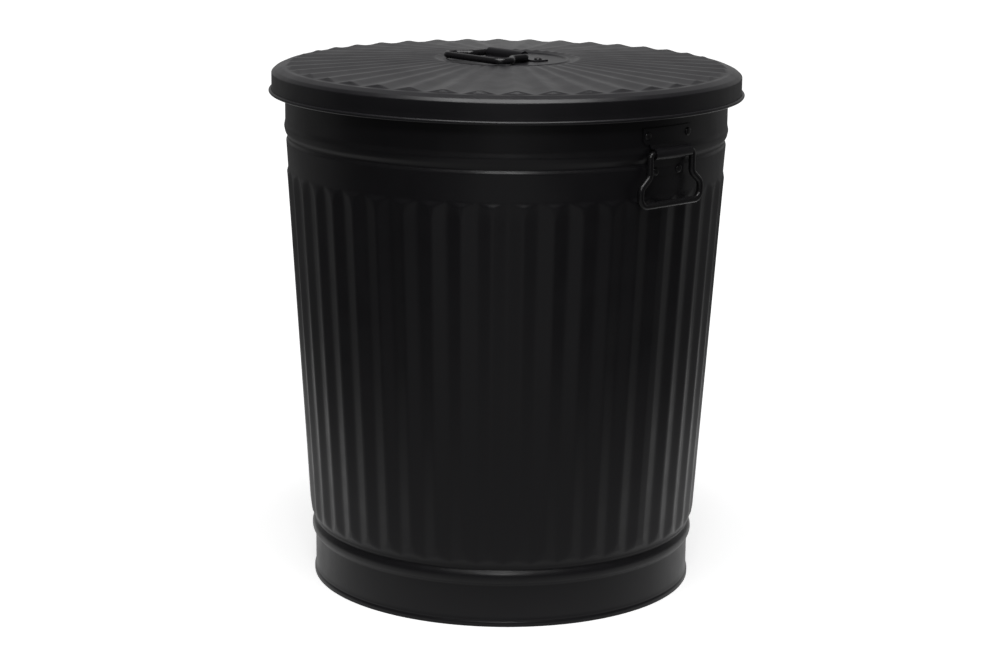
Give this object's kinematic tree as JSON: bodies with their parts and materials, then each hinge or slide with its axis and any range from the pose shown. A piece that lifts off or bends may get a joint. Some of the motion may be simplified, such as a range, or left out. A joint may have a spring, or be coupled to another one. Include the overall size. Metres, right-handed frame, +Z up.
{
  "type": "trash can with lid",
  "caption": "Round tapered trash can of fluted sheet metal with a rolled rim, a lift-off fluted dome lid and hinged drop handles on its sides and lid.",
  "frame": {"origin": "centre of the can's base, on the floor that it stands on", "axes": "+Z up along the can's axis, +X to the handle on the seam side, the lid's handle lies towards -Y"},
  "size_m": [0.54, 0.54, 0.6128],
  "materials": {
    "black_coat": "satin black powder coat over galvanized sheet steel",
    "black_rivets": "satin black powder coat over steel rivets",
    "black_wire": "satin black powder coat over round steel wire",
    "galvanized_wire": "bare galvanized steel wire inside the rolled rim"
  },
  "bodies": {
    "can": {"can_wall": "black_coat", "rim_wire": "galvanized_wire", "bottom_pan": "black_coat", "bracket_right": "black_coat", "bracket_left": "black_coat", "bracket_rivets": "black_rivets"},
    "right_handle": {"bail_right": "black_wire"},
    "left_handle": {"bail_left": "black_wire"},
    "lid": {"lid_pan": "black_coat", "lid_bracket": "black_coat", "lid_rivets": "black_rivets"},
    "lid_handle": {"lid_bail": "black_wire"}
  },
  "joints": [
    {"name": "lid_lift", "type": "slide", "parent": "can", "child": "lid", "axis": [0, 0, 1], "range_m": [0, 0.25]},
    {"name": "right_handle_swing", "type": "hinge", "parent": "can", "child": "right_handle", "pos_m": [0.2574, 0, 0.526], "axis": [0, -1, 0], "range_deg": [-2, 140]},
    {"name": "left_handle_swing", "type": "hinge", "parent": "can", "child": "left_handle", "pos_m": [-0.2574, 0, 0.526], "axis": [0, 1, 0], "range_deg": [-2, 140]},
    {"name": "lid_handle_swing", "type": "hinge", "parent": "lid", "child": "lid_handle", "pos_m": [0, 0, 0.60657], "axis": [-1, 0, 0], "range_deg": [0, 165]}
  ]
}
